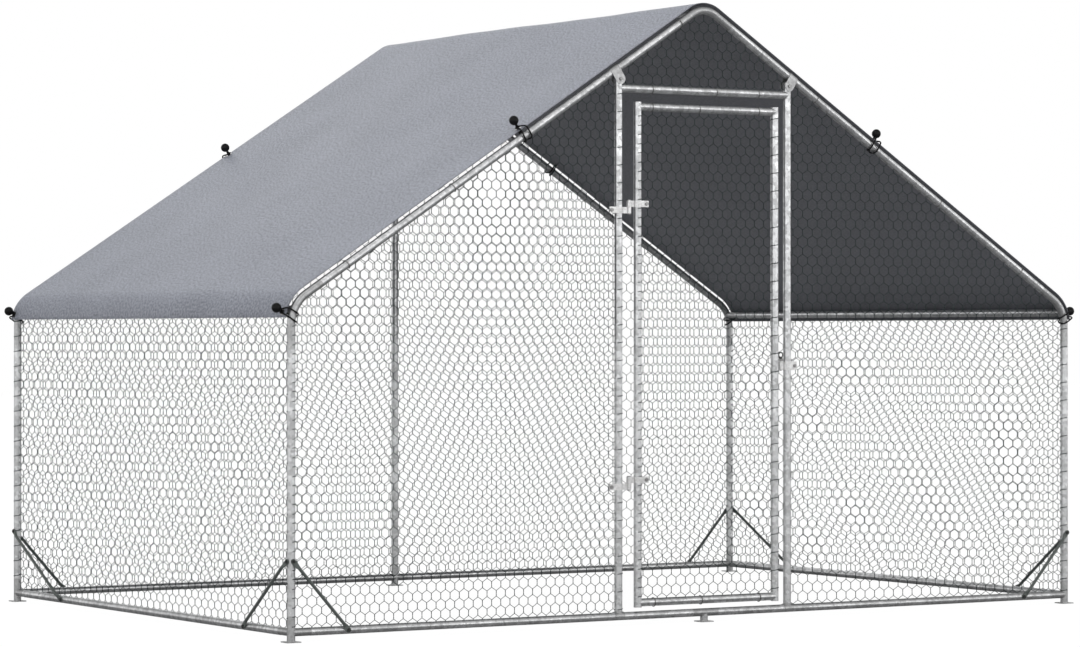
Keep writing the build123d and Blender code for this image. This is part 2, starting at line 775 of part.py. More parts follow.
eave_net_offset = half_width - eave_tangent * cos(roof_slope) - rafter_net_edge * sin(roof_slope)
ridge_net_offset = ridge_tangent * cos(roof_slope) - rafter_net_edge * sin(roof_slope)
ridge_net_r = ridge_bend_radius - rafter_net_edge
post_net_offset = door_post_offset + net_edge
gable_net_offset = door_post_offset - net_edge
wall_net_offset = half_width - net_edge
back_net_top = ridge_bend_centre + sqrt(ridge_net_r**2 - net_edge**2)


def mirrored(outline):
    """The same outline on the other side of the coop, still anticlockwise."""
    return [(-u, v) for u, v in reversed(outline)]


front_outline = [
    (post_net_offset, net_low),
    (wall_net_offset, net_low),
    (wall_net_offset, bend_start),
    (eave_net_offset, under_rafter(eave_net_offset)),
    (post_net_offset, under_rafter(post_net_offset)),
]
back_outline = [
    (net_edge, net_low),
    (wall_net_offset, net_low),
    (wall_net_offset, bend_start),
    (eave_net_offset, under_rafter(eave_net_offset)),
    (ridge_net_offset, under_rafter(ridge_net_offset)),
    (net_edge, back_net_top),
]
gable_outline = [
    (-gable_net_offset, header_height + net_edge),
    (gable_net_offset, header_height + net_edge),
    (gable_net_offset, under_rafter(gable_net_offset)),
    (ridge_net_offset, under_rafter(ridge_net_offset)),
    (-ridge_net_offset, under_rafter(ridge_net_offset)),
    (-gable_net_offset, under_rafter(gable_net_offset)),
]
door_outline = [
    (hinge_stile_x + net_edge, door_bottom_rail + net_edge),
    (latch_stile_x - net_edge, door_bottom_rail + net_edge),
    (latch_stile_x - net_edge, door_top_rail - net_edge),
    (hinge_stile_x + net_edge, door_top_rail - net_edge),
]
front_plane = Plane((0, front_y, 0), x_dir=(1, 0, 0), z_dir=(0, -1, 0))
back_plane = Plane((0, half_depth, 0), x_dir=(1, 0, 0), z_dir=(0, -1, 0))
keep(hex_net(front_plane, front_outline, wall_net_pitch), "net_front_right")
keep(hex_net(front_plane, mirrored(front_outline), wall_net_pitch), "net_front_left")
keep(hex_net(back_plane, back_outline, wall_net_pitch), "net_back_right")
keep(hex_net(back_plane, mirrored(back_outline), wall_net_pitch), "net_back_left")
keep(hex_net(front_plane, gable_outline, door_net_pitch), "net_gable")
keep(hex_net(front_plane, door_outline, door_net_pitch), "net_door")

# Bungee sites, one on each rafter and each eave bend.
# A site's X runs along the depth to the eyelet behind the tube, and its Y runs out through the cover.
cover_bend_r = eave_bend_radius + cover_inner
hem_turn = asin((cover_hem_height - bend_start) / cover_bend_r)
bungee_turn = radians(eave_bungee_turn)
bungee_tilt = radians(eave_bungee_tilt)
# Along the tilted cord, the cover's inner face is this far from the middle of the eave tube.
chord_drop = eave_bend_radius * sin(bungee_tilt)
eave_cover_reach = sqrt(cover_bend_r**2 - chord_drop**2) - eave_bend_radius * cos(bungee_tilt)
eyelet_turn = bungee_turn + asin(eave_cover_reach * sin(bungee_tilt) / cover_bend_r)


def in_arch(side_sign, turn):
    """The direction in the arch that leans a turn up from level, away from the middle of the coop."""
    return Vector(side_sign * cos(turn), 0, sin(turn))


bungee_sites = []
eyelet_planes = []
ball_points = []
for end_sign in ENDS.values():
    inward = Vector(0, -end_sign, 0)
    y = end_sign * half_depth
    for side_sign in SIDES.values():
        slope_out = in_arch(side_sign, pi / 2 - roof_slope)
        slope_point = Vector(side_sign * rafter_bungee_offset, y, rafter_height(rafter_bungee_offset))
        bend_point = Vector(side_sign * bend_centre_offset, y, bend_start)
        bend_point += in_arch(side_sign, bungee_turn) * eave_bend_radius
        cord_out = in_arch(side_sign, bungee_turn + bungee_tilt)
        eyelet_out = in_arch(side_sign, eyelet_turn)
        for point, outward, cover_reach, facing, neck in (
            (slope_point, slope_out, cover_inner, slope_out, rafter_neck),
            (bend_point, cord_out, eave_cover_reach, eyelet_out, eave_neck),
        ):
            site = Plane(point, x_dir=inward, z_dir=inward.cross(outward))
            eyelet_top = cover_reach + eyelet_rise
            ball_height = eyelet_top + neck + ball_r
            bungee_sites.append((site, eyelet_top, ball_height))
            eyelet_seat = site.from_local_coords(Vector(cord_wrap_r, cover_reach))
            eyelet_planes.append(Plane(eyelet_seat, z_dir=facing))
            ball_points.append(site.from_local_coords(Vector(cord_wrap_r, ball_height)))

# Roof cover, one sheet from hem to hem, with its eyelet holes
hem_degrees = degrees(hem_turn)
bend_degrees = degrees(eave_turn - hem_turn)
slope_degrees = degrees(roof_slope)
with BuildPart() as roof_cover:
    cover_depth = half_depth + cover_overhang
    with BuildSketch(Plane.XZ.offset(-cover_depth)):
        with BuildLine():
            hems = []
            for layer in (cover_inner, cover_outer):
                eave_r = eave_bend_radius + layer
                crown_r = ridge_bend_radius + layer
                right_bend = CenterArc((bend_centre_offset, bend_start), eave_r, hem_degrees, bend_degrees)
                crown_bend = CenterArc((0, ridge_bend_centre), crown_r, 90 - slope_degrees, 2 * slope_degrees)
                left_centre = (-bend_centre_offset, bend_start)
                left_bend = CenterArc(left_centre, eave_r, 180 - hem_degrees, -bend_degrees)
                Line(right_bend @ 1, crown_bend @ 0)
                Line(crown_bend @ 1, left_bend @ 1)
                hems.append((right_bend @ 0, left_bend @ 0))
            Line(hems[0][0], hems[1][0])
            Line(hems[0][1], hems[1][1])
        make_face()
    extrude(amount=2 * cover_depth)
    with Locations(*eyelet_planes):
        Cylinder(eyelet_barrel_r + eyelet_hole_gap, 4 * eyelet_rise, mode=Mode.SUBTRACT)
keep(roof_cover.part, "roof_cover")

with BuildPart() as cover_eyelets:
    flange_bottom = -eyelet_gap - eyelet_flange_thickness
    flange_top = cover_thickness + eyelet_gap
    barrel = flange_top + eyelet_flange_thickness - flange_bottom
    for plane in eyelet_planes:
        with Locations(plane.offset(flange_bottom), plane.offset(flange_top)):
            Cylinder(eyelet_flange / 2, eyelet_flange_thickness, align=BASE)
        with Locations(plane.offset(flange_bottom)):
            Cylinder(eyelet_barrel_r, barrel, align=BASE)
            Cylinder(eyelet_bore / 2, barrel, align=BASE, mode=Mode.SUBTRACT)
keep(cover_eyelets.part, "cover_eyelets")

with BuildPart() as bungee_balls:
    with Locations(*ball_points):
        Sphere(ball_r)
keep(bungee_balls.part, "bungee_balls")

# Each bungee is a doubled cord from the ball, through the eyelet, round the tube and back to the ball.
with BuildPart() as bungee_cords:
    for site, eyelet_top, ball_height in bungee_sites:
        cord_over = eyelet_top + cord_gap + cord_r
        for strand in (-cord_spacing / 2, cord_spacing / 2):
            strand_plane = site.offset(strand)
            first = strand_plane.from_local_coords(Vector(cord_wrap_r, ball_height))
            with BuildLine(strand_plane):
                Line((cord_wrap_r, ball_height), (cord_wrap_r, 0))
                CenterArc((0, 0), cord_wrap_r, 0, -180)
                FilletPolyline(
                    (-cord_wrap_r, 0),
                    (-cord_wrap_r, cord_over),
                    (cord_wrap_r - cord_ball_inset, cord_over),
                    radius=cord_edge_radius,
                )
            with BuildSketch(Plane(first, z_dir=-strand_plane.y_dir)):
                Circle(cord_r)
            sweep()
keep(bungee_cords.part, "bungee_cords")
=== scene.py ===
import math

import bpy
import numpy as np
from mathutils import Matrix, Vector


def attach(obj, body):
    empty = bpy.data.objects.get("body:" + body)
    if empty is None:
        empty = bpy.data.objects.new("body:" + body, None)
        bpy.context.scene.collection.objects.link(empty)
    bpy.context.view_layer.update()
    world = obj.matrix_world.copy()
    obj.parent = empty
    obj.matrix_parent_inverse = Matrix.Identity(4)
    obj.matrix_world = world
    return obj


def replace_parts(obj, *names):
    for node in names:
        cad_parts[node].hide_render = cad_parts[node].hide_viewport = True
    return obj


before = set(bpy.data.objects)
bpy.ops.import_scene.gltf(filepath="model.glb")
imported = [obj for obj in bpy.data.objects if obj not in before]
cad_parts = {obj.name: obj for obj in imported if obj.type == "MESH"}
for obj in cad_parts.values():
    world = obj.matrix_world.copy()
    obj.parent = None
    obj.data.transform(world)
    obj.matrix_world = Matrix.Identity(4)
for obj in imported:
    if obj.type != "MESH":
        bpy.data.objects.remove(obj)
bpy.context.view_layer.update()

# Frame of the coop, in metres.
tube_radius = 0.0125
half_width = 1.485
half_depth = 0.985
rail_height = 0.030
eave_height = 1.000
ridge_height = 1.956
eave_bend = 0.110
ridge_bend = 0.080
door_post_offset = 0.3255
header_height = 1.683
hinge_stile_x = -0.253
latch_stile_x = 0.276
door_rail_low = 0.070
door_rail_high = 1.627
slope = math.atan2(ridge_height - eave_height, half_width)
eave_turn = math.pi / 2 - slope
bend_start = eave_height - eave_bend * math.tan(eave_turn / 2)
bend_centre = half_width - eave_bend
ridge_centre = ridge_height - ridge_bend / math.cos(slope)
eave_rail_z = 0.98562
slope_length = half_width / math.cos(slope)

# Wire netting: each cell has a width and a row height, with two slanted wires and one twisted side.
front_left_cell = (0.0329, 0.0278)
front_right_cell = (0.0388, 0.0302)
door_cell = (0.0358, 0.0290)
back_left_cell = (0.0366, 0.0322)
back_right_cell = (0.0412, 0.0342)
left_cell = (0.0445, 0.0255)
right_cell = (0.0530, 0.0300)
twist_share = 0.62
wire_radius = 0.00105
wire_corners = 3
twist_half_width = 0.0012
twist_half_thickness = 0.0008
least_wire_share = 0.02
net_reach = 0.012
net_unevenness = 0.0002
net_bulge = 0.0006
net_bulge_margin = 0.12
net_bend_shares = (0.35, 0.7, 1.0)

# Twisted sides: their half turns, and the stations along them.
front_twist = (1.5, 5)
far_twist = (1.0, 4)

# Height of one row of twisted sides in each net, and the top of the side nets.
end_row = 0.0635
side_row = 0.0545
door_row = 0.1065
gable_row = header_height + 0.030
wall_net_top = eave_rail_z - 0.0075

# Lacing wire: its spacing along a tube, and where each turn starts and stops round it, in half turns.
close_lacing = (0.024, -0.5, 0.56)
hidden_lacing = (0.048, -0.6, 0.10)
over_lacing = (0.029, 0.25, 1.05)
back_lacing = (0.024, -0.56, 0.10)
back_middle_lacing = (0.048, -0.56, 0.10)
outside_lacing = (0.024, -0.06, 0.56)
latch_stile_lacing = (0.028, 0.0, 0.82)
hinge_stile_lacing = (0.024, -0.2, 0.66)
lacing_radius = 0.0013
lacing_standoff = 0.6 * lacing_radius
lacing_drift = 0.0016
lacing_corners = 4
lacing_stations = 9

# Ring ties: places along the tubes, from the middle of the front, and the shape of a ring.
header_ties = (-0.2025, 0.0435, 0.2075)
right_rafter_ties = (0.4385, 0.945, 1.290)
left_rafter_ties = (0.0925, 0.928, 1.296)
door_top_ties = (-0.2025, -0.0225, 0.2075)
door_low_ties = (-0.195, -0.015, 0.211)
tie_radius = 0.0013
tie_standoff = 0.0012
tie_opening = 0.0001
tie_drift = 0.0003
tie_start = -0.3
tie_overlap = 0.5
tie_corners = 6
tie_stations = 28

# Roof cover.
cover_middle = 0.02325
cover_thickness = 0.0011
cover_hem_thickness = 0.0006
cover_hem_width = 0.024
cover_hem_height = 0.962
cover_half_depth = 0.990
cover_ripple = 0.0016
cover_taut_margin = 0.03
cover_slack_width = 0.25
cover_hem_fold = 0.002
cover_edge_round = 0.0008
cover_ridge_steps = 8
cover_slope_steps = 60
cover_eave_steps = 12
cover_depth_steps = 44
stitch_rows = (0.005, 0.020)
stitch_half_width = 0.0006
stitches_per_metre = 200.0
stitch_gap = 0.32
threads_per_metre = 200.0
# Painted shade: the cover's colour darkens over this reach from each eave hem, in place of the shade where
# the cover bends down.
hem_shade_reach = 0.10
hem_shade_share = 0.26

# Ball bungees.
cord_radius = 0.0025
cord_hook = 0.0072
cord_neck_rise = 0.0045
ball_radius = 0.015
ball_seam = 0.0003
ball_segments = 36
ball_rings = np.linspace(-66, 74, 29)
rafter_bungee_x = 0.670
eave_bungee_turn = math.radians(13.9)
eave_bungee_rise = math.radians(29.5)
cord_wrap = 0.0168
rafter_eyelet_top = 0.0256
rafter_ball_out = 0.0546
eave_eyelet_top = 0.0263
eave_ball_out = 0.0498

# Studio floor, studio light, and the camera fitted to the photograph, in metres, degrees and millimetres.
studio_white = (1, 1, 1, 1)
floor_matte = (0.75, 0.75, 0.755, 1)
floor_mirrored = (0.31, 0.31, 0.315, 1)
floor_glow = 1.05
floor_glow_share = 0.93
floor_reach = 40.0
floor_drop = 0.0006
mirrored_light = 1.95
plain_light = 0.62
background_light = 1.0
camera_place = (-6.60489, -10.51749, 0.91117)
camera_tilt = 90.17475
camera_turn = -32.1444
camera_lens = 121.574
camera_sensor = 36


def joined(parts):
    """Puts several lists of points and four-sided faces into one."""
    points = []
    faces = []
    start = 0
    for some_points, some_faces in parts:
        points.append(some_points)
        faces.append(some_faces + start)
        start += len(some_points)
    return np.vstack(points), np.vstack(faces)


def add_piece(name, points, faces, body, material, smooth=True):
    """Makes one visible piece that rides on a body."""
    mesh = bpy.data.meshes.new(name)
    mesh.from_pydata(points.tolist(), [], faces.tolist())
    mesh.materials.append(material)
    mesh.polygons.foreach_set("use_smooth", [smooth] * len(mesh.polygons))
    mesh.update()
    piece = bpy.data.objects.new(name, mesh)
    bpy.context.scene.collection.objects.link(piece)
    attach(piece, body)
    return piece


def swept(paths, normal, outline, closed=False):
    """Sweeps a small outline, given at each station, along many paths with the same number of stations.

    closed gives each path two flat ends, where the outline has four or six corners.
    """
    count, stations, _ = paths.shape
    tangent = np.gradient(paths, axis=1)
    tangent = tangent / np.linalg.norm(tangent, axis=2, keepdims=True)
    side = np.cross(tangent, normal)
    side = side / np.linalg.norm(side, axis=2, keepdims=True)
    points = paths[:, :, None] + side[:, :, None] * outline[..., 0:1]
    points = points + np.asarray(normal) * outline[..., 1:2]
    corners = outline.shape[1]
    station, corner = np.meshgrid(np.arange(stations - 1), np.arange(corners), indexing="ij")
    here = station * corners + corner
    beside = station * corners + (corner + 1) % corners
    quad = np.stack([here, here + corners, beside + corners, beside], -1).reshape(-1, 4)
    if closed:
        start = np.array([[0, second, second + 1, second + 2] for second in range(1, corners - 2, 2)])
        stop = start[:, ::-1] + (stations - 1) * corners
        quad = np.vstack([quad, start, stop])
    faces = quad[None] + np.arange(count)[:, None, None] * stations * corners
    return points.reshape(-1, 3), faces.reshape(-1, 4)


def round_outline(radius, corners, stations):
    angle = np.arange(corners) * 2 * math.pi / corners
    ring = np.stack([radius * np.cos(angle), radius * np.sin(angle)], -1)
    return np.repeat(ring[None], stations, axis=0)


def twisted_outline(half_turns, stations):
    """Two wires twisted together read as a flat bar that turns along its length."""
    bar = np.array([[1, 1], [-1, 1], [-1, -1], [1, -1]]) * [twist_half_width, twist_half_thickness]
    rings = []
    for angle in np.linspace(0, half_turns * math.pi, stations):
        turn = np.array([[math.cos(angle), math.sin(angle)], [-math.sin(angle), math.cos(angle)]])
        rings.append(bar @ turn)
    return np.array(rings)


# Materials.
def add_node(tree, kind, **inputs):
    """Adds a shader node; an input that is a socket is linked and any other input is set."""
    made = tree.nodes.new("ShaderNode" + kind)
    for name, value in inputs.items():
        socket = made.inputs[int(name[1:])] if name[0] == "n" and name[1:].isdigit() else made.inputs[name]
        if isinstance(value, bpy.types.NodeSocket):
            tree.links.new(value, socket)
        else:
            socket.default_value = value
    return made


def math_node(tree, operation, first, second=0.0):
    made = add_node(tree, "Math", n0=first, n1=second)
    made.operation = operation
    return made.outputs[0]


def scaled(tree, value, factor):
    return math_node(tree, "MULTIPLY", value, factor)


def mixed(tree, share, first, second, blend_type="MIX"):
    made = add_node(tree, "MixRGB", Fac=share, Color1=first, Color2=second)
    made.blend_type = blend_type
    return made.outputs[0]


def ranged(tree, value, low, high, to_low, to_high):
    """Takes a value from one range to another and stops it at the ends."""
    made = add_node(tree, "MapRange", n0=value, n1=low, n2=high, n3=to_low, n4=to_high)
    return made.outputs[0]


def noise(tree, vector, scale, detail=3.0, roughness=0.55):
    """Soft noise about 0.5, with scale in cells for each metre."""
    made = add_node(tree, "TexNoise", Vector=vector, Scale=scale, Detail=detail, Roughness=roughness)
    return made.outputs["Fac"]


def new_group(name, inputs, outputs):
    """An empty shader node group, with the nodes for what it is given and what it puts out."""
    tree = bpy.data.node_groups.new(name, "ShaderNodeTree")
    for socket_name, kind, value in inputs:
        made = tree.interface.new_socket(socket_name, in_out="INPUT", socket_type="NodeSocket" + kind)
        made.default_value = value
    for socket_name, kind in outputs:
        tree.interface.new_socket(socket_name, in_out="OUTPUT", socket_type="NodeSocket" + kind)
    return tree, tree.nodes.new("NodeGroupInput"), tree.nodes.new("NodeGroupOutput")


def zinc_group():
    """Zinc: spangle, dull patches, fine scratches along and across, grime near the ground."""
    tree, given, result = new_group(
        "zinc_finish",
        [
            ("Bright", "Color", (0.7, 0.7, 0.7, 1)),
            ("Dull", "Color", (0.5, 0.5, 0.5, 1)),
            ("Grime", "Color", (0.2, 0.19, 0.17, 1)),
            ("Grime amount", "Float", 0.3),
            ("Spangle size", "Float", 120.0),
            ("Smooth", "Float", 0.3),
            ("Rough", "Float", 0.5),
        ],
        [("Color", "Color"), ("Roughness", "Float"), ("Height", "Float")],
    )
    place = add_node(tree, "TexCoord").outputs["Object"]
    spangle = add_node(tree, "TexVoronoi", Vector=place, Scale=given.outputs["Spangle size"])
    flake = add_node(tree, "SeparateColor", Color=spangle.outputs["Color"]).outputs[0]
    patch = noise(tree, place, scale=9.0, detail=5.0, roughness=0.6)
    scratch_place = add_node(tree, "Mapping", Vector=place, Scale=(260.0, 260.0, 18.0)).outputs[0]
    scratch = noise(tree, scratch_place, scale=2.2, detail=4.0, roughness=0.7)
    scratch = ranged(tree, scratch, 0.62, 0.72, 0.0, 1.0)
    tone = math_node(tree, "ADD", scaled(tree, flake, 0.55), patch)
    tone = ranged(tree, tone, 0.35, 1.05, 0.0, 1.0)
    metal = mixed(tree, tone, given.outputs["Bright"], given.outputs["Dull"])
    height = add_node(tree, "SeparateXYZ", Vector=place).outputs[2]
    low_down = ranged(tree, height, 0.02, 0.35, 0.5, 0.0)
    stain = ranged(tree, noise(tree, place, scale=23.0, detail=6.0, roughness=0.65), 0.50, 0.72, 0.0, 1.0)
    dirt = scaled(tree, math_node(tree, "ADD", stain, low_down), given.outputs["Grime amount"])
    colour = mixed(tree, dirt, metal, given.outputs["Grime"])
    tree.links.new(colour, result.inputs["Color"])
    spread = math_node(tree, "ADD", scaled(tree, tone, 0.7), scaled(tree, scratch, 0.3))
    span = math_node(tree, "SUBTRACT", given.outputs["Rough"], given.outputs["Smooth"])
    rough = math_node(tree, "ADD", scaled(tree, spread, span), given.outputs["Smooth"])
    tree.links.new(rough, result.inputs["Roughness"])
    grain = noise(tree, place, scale=700.0, detail=2.0)
    relief = math_node(tree, "ADD", scaled(tree, grain, 0.5), scaled(tree, flake, 0.35))
    relief = math_node(tree, "SUBTRACT", relief, scaled(tree, scratch, 0.4))
    tree.links.new(relief, result.inputs["Height"])
    return tree


def coating_group():
    """Paint, rubber and plastic: slow tone changes, rubbed specks and a fine pebbled skin."""
    tree, given, result = new_group(
        "coated_finish",
        [
            ("Main", "Color", (0.05, 0.05, 0.05, 1)),
            ("Rubbed", "Color", (0.2, 0.2, 0.2, 1)),
            ("Rubbed amount", "Float", 0.3),
            ("Grain size", "Float", 600.0),
            ("Smooth", "Float", 0.35),
            ("Rough", "Float", 0.6),
        ],
        [("Color", "Color"), ("Roughness", "Float"), ("Height", "Float")],
    )
    place = add_node(tree, "TexCoord").outputs["Object"]
    slow = noise(tree, place, scale=14.0, detail=4.0, roughness=0.6)
    specks = ranged(tree, noise(tree, place, scale=160.0, detail=5.0, roughness=0.7), 0.58, 0.70, 0.0, 1.0)
    worn = scaled(tree, scaled(tree, specks, slow), given.outputs["Rubbed amount"])
    faded = ranged(tree, slow, 0.3, 0.7, 0.0, 0.25)
    toned = mixed(tree, faded, given.outputs["Main"], given.outputs["Rubbed"])
    tree.links.new(mixed(tree, worn, toned, given.outputs["Rubbed"]), result.inputs["Color"])
    span = math_node(tree, "SUBTRACT", given.outputs["Rough"], given.outputs["Smooth"])
    rough = math_node(tree, "ADD", scaled(tree, slow, span), given.outputs["Smooth"])
    tree.links.new(rough, result.inputs["Roughness"])
    pebble = noise(tree, place, given.outputs["Grain size"])
    tree.links.new(math_node(tree, "SUBTRACT", pebble, worn), result.inputs["Height"])
    return tree


def cloth_group(half_run):
    """Coated woven cover: speckle, weave, painted shade darkening toward the eaves and two rows of stitches
    along each edge.
    """
    tree, given, result = new_group(
        "cover_cloth",
        [
            ("Main", "Color", (0.3, 0.3, 0.3, 1)),
            ("Speckle", "Color", (0.2, 0.2, 0.2, 1)),
            ("Thread", "Color", (0.2, 0.2, 0.2, 1)),
            ("Speckle amount", "Float", 0.5),
        ],
        [("Color", "Color"), ("Roughness", "Float"), ("Height", "Float")],
    )
    flat = add_node(tree, "TexCoord").outputs["UV"]
    axes = add_node(tree, "SeparateXYZ", Vector=flat)
    from_eave = math_node(tree, "SUBTRACT", half_run, math_node(tree, "ABSOLUTE", axes.outputs[0]))
    from_end = math_node(tree, "SUBTRACT", cover_half_depth, math_node(tree, "ABSOLUTE", axes.outputs[1]))
    stitches = 0.0
    for inset, run in ((from_eave, axes.outputs[1]), (from_end, axes.outputs[0])):
        along_stitch = math_node(tree, "FRACT", scaled(tree, run, stitches_per_metre))
        dash = math_node(tree, "GREATER_THAN", along_stitch, stitch_gap)
        for row in stitch_rows:
            from_row = math_node(tree, "ABSOLUTE", math_node(tree, "SUBTRACT", inset, row))
            near = math_node(tree, "LESS_THAN", from_row, stitch_half_width)
            stitches = math_node(tree, "MAXIMUM", scaled(tree, near, dash), stitches)
    speckle = ranged(tree, noise(tree, flat, scale=125.0, detail=4.0, roughness=0.7), 0.40, 0.62, 0.0, 1.0)
    cloud = ranged(tree, noise(tree, flat, scale=3.2, detail=4.0), 0.3, 0.7, -0.07, 0.07)
    # Painted shade: the colour mixes toward the darker speckle colour near the eave hems.
    hem_shade = ranged(tree, from_eave, 0.0, hem_shade_reach, hem_shade_share, 0.0)
    share = scaled(tree, speckle, given.outputs["Speckle amount"])
    share = math_node(tree, "ADD", share, cloud)
    share = math_node(tree, "ADD", share, hem_shade)
    colour = mixed(tree, share, given.outputs["Main"], given.outputs["Speckle"])
    colour = mixed(tree, stitches, colour, given.outputs["Thread"])
    tree.links.new(colour, result.inputs["Color"])
    weave = []
    for direction in ("X", "Y"):
        wave = add_node(tree, "TexWave", Vector=flat, Scale=threads_per_metre)
        wave.bands_direction = direction
        weave.append(wave.outputs["Fac"])
    woven = scaled(tree, math_node(tree, "ADD", weave[0], weave[1]), 0.35)
    relief = math_node(tree, "ADD", woven, scaled(tree, speckle, 0.3))
    relief = math_node(tree, "ADD", relief, scaled(tree, stitches, 1.5))
    tree.links.new(relief, result.inputs["Height"])
    tree.links.new(ranged(tree, speckle, 0.0, 1.0, 0.46, 0.62), result.inputs["Roughness"])
    return tree


def finished_material(name, group, metallic, bump_depth, bump_strength, specular=0.5, **inputs):
    """A material with one finish; other inputs go to the finish, with spaces for underscores."""
    material = bpy.data.materials.new(name)
    material.use_nodes = True
    tree = material.node_tree
    shader = tree.nodes["Principled BSDF"]
    finish = tree.nodes.new("ShaderNodeGroup")
    finish.node_tree = group
    for socket_name, value in inputs.items():
        finish.inputs[socket_name.replace("_", " ")].default_value = value
    tree.links.new(finish.outputs["Color"], shader.inputs["Base Color"])
    tree.links.new(finish.outputs["Roughness"], shader.inputs["Roughness"])
    relief = finish.outputs["Height"]
    bump = add_node(tree, "Bump", Strength=bump_strength, Distance=bump_depth, Height=relief)
    tree.links.new(bump.outputs["Normal"], shader.inputs["Normal"])
    shader.inputs["Metallic"].default_value = metallic
    shader.inputs["Specular IOR Level"].default_value = specular
    return material


def grey(value, warm=0.0):
    """A grey colour, with a warm or, below zero, a cool tinge."""
    return (value * (1 + warm), value, value * (1 - warm), 1)


zinc = zinc_group()
coating = coating_group()
galvanised_tube = finished_material(
    "galvanised_tube", zinc, metallic=0.9, bump_depth=0.0003, bump_strength=0.12,
    Bright=grey(0.92, -0.008), Dull=grey(0.53, -0.012), Grime=grey(0.28, 0.04),
    Grime_amount=0.20, Spangle_size=95.0, Smooth=0.27, Rough=0.46,
)
fitting_steel = finished_material(
    "fitting_steel", zinc, metallic=0.88, bump_depth=0.0004, bump_strength=0.18,
    Bright=grey(0.60, -0.006), Dull=grey(0.45, -0.010), Grime=grey(0.20, 0.05),
    Grime_amount=0.26, Spangle_size=140.0, Smooth=0.32, Rough=0.55,
)
zinc_hardware = finished_material(
    "zinc_hardware", zinc, metallic=0.92, bump_depth=0.0003, bump_strength=0.15,
    Bright=grey(0.90), Dull=grey(0.68, 0.005), Grime=grey(0.16, 0.05),
    Grime_amount=0.24, Spangle_size=260.0, Smooth=0.28, Rough=0.52,
)
bolt_steel = finished_material(
    "bolt_steel", zinc, metallic=0.88, bump_depth=0.0003, bump_strength=0.15,
    Bright=grey(0.42), Dull=grey(0.28, 0.01), Grime=grey(0.06, 0.06),
    Grime_amount=0.34, Spangle_size=260.0, Smooth=0.26, Rough=0.50,
)
dark_hardware = finished_material(
    "dark_hardware", zinc, metallic=0.80, bump_depth=0.0003, bump_strength=0.18,
    Bright=grey(0.07, 0.01), Dull=grey(0.04, 0.01), Grime=grey(0.02, 0.06),
    Grime_amount=0.40, Spangle_size=300.0, Smooth=0.30, Rough=0.55,
)
net_wire = finished_material(
    "net_wire", zinc, metallic=0.35, bump_depth=0.0001, bump_strength=0.15, specular=0.15,
    Bright=(0.062, 0.086, 0.086, 1), Dull=(0.041, 0.057, 0.057, 1), Grime=grey(0.018, -0.05),
    Grime_amount=0.35, Spangle_size=60.0, Smooth=0.45, Rough=0.65,
)
brace_paint = finished_material(
    "brace_paint", coating, metallic=0.25, bump_depth=0.0003, bump_strength=0.18,
    Main=(0.108, 0.124, 0.116, 1), Rubbed=(0.23, 0.24, 0.235, 1),
    Rubbed_amount=0.55, Grain_size=480.0, Smooth=0.34, Rough=0.58,
)
ball_plastic = finished_material(
    "ball_plastic", coating, metallic=0.0, bump_depth=0.0002, bump_strength=0.12, specular=0.16,
    Main=(0.006, 0.006, 0.0065, 1), Rubbed=(0.03, 0.03, 0.031, 1),
    Rubbed_amount=0.30, Grain_size=900.0, Smooth=0.26, Rough=0.46,
)
elastic_cord = finished_material(
    "elastic_cord", coating, metallic=0.0, bump_depth=0.0006, bump_strength=0.55, specular=0.2,
    Main=(0.008, 0.008, 0.0085, 1), Rubbed=(0.05, 0.05, 0.052, 1),
    Rubbed_amount=0.35, Grain_size=1500.0, Smooth=0.70, Rough=0.92,
)
eyelet_metal = finished_material(
    "eyelet_metal", zinc, metallic=0.95, bump_depth=0.0002, bump_strength=0.10,
    Bright=grey(0.66), Dull=grey(0.48, 0.01), Grime=grey(0.12, 0.05),
    Grime_amount=0.25, Spangle_size=400.0, Smooth=0.18, Rough=0.38,
)

# The cover's profile from the ridge out to the hem, with the angle of its outward normal.
cover_eave_bend = eave_bend + cover_middle
cover_ridge_bend = ridge_bend + cover_middle
hem_angle = math.acos((cover_hem_height - bend_start) / cover_eave_bend)
ridge_arc = cover_ridge_bend * slope
straight_run = slope_length - eave_bend * math.tan(eave_turn / 2) - ridge_bend * math.tan(slope)
eave_arc = cover_eave_bend * (hem_angle - slope)
half_run = ridge_arc + straight_run + eave_arc
cloth = cloth_group(half_run)
cover_outside = finished_material(
    "cover_outside", cloth, metallic=0.0, bump_depth=0.0004, bump_strength=0.30, specular=0.35,
    Main=(0.450, 0.474, 0.547, 1), Speckle=(0.140, 0.148, 0.173, 1),
    Thread=(0.25, 0.26, 0.29, 1), Speckle_amount=0.75,
)
cover_inside = finished_material(
    "cover_inside", cloth, metallic=0.0, bump_depth=0.0004, bump_strength=0.30, specular=0.35,
    Main=(0.184, 0.189, 0.209, 1), Speckle=(0.118, 0.121, 0.134, 1),
    Thread=(0.08, 0.08, 0.085, 1), Speckle_amount=0.6,
)


# Nets.
def hex_wires(outline, cell, first_row):
    """The twisted sides and slanted wires that cover an outline, from the height of one row of sides."""
    cell_width, cell_row = cell
    twist_length = twist_share * cell_row
    low = outline.min(axis=0)
    high = outline.max(axis=0)
    columns = np.arange(math.floor(low[0] / cell_width) - 1, math.ceil(high[0] / cell_width) + 2)
    rows = np.arange(-3, math.ceil((high[1] - first_row) / cell_row) + 2)
    column, row = np.meshgrid(columns, rows)
    u = (column + 0.5 * (row % 2)).ravel() * cell_width
    v = first_row + row.ravel() * cell_row
    foot = np.stack([u - cell_width / 2, v - twist_length / 2], -1)
    head = np.stack([u - cell_width / 2, v + twist_length / 2], -1)
    peak = np.stack([u, v + cell_row - twist_length / 2], -1)
    far = np.stack([u + cell_width / 2, v + twist_length / 2], -1)
    twists = np.stack([foot, head], 1)
    slants = np.concatenate([np.stack([head, peak], 1), np.stack([peak, far], 1)])
    return uneven(twists), uneven(slants)


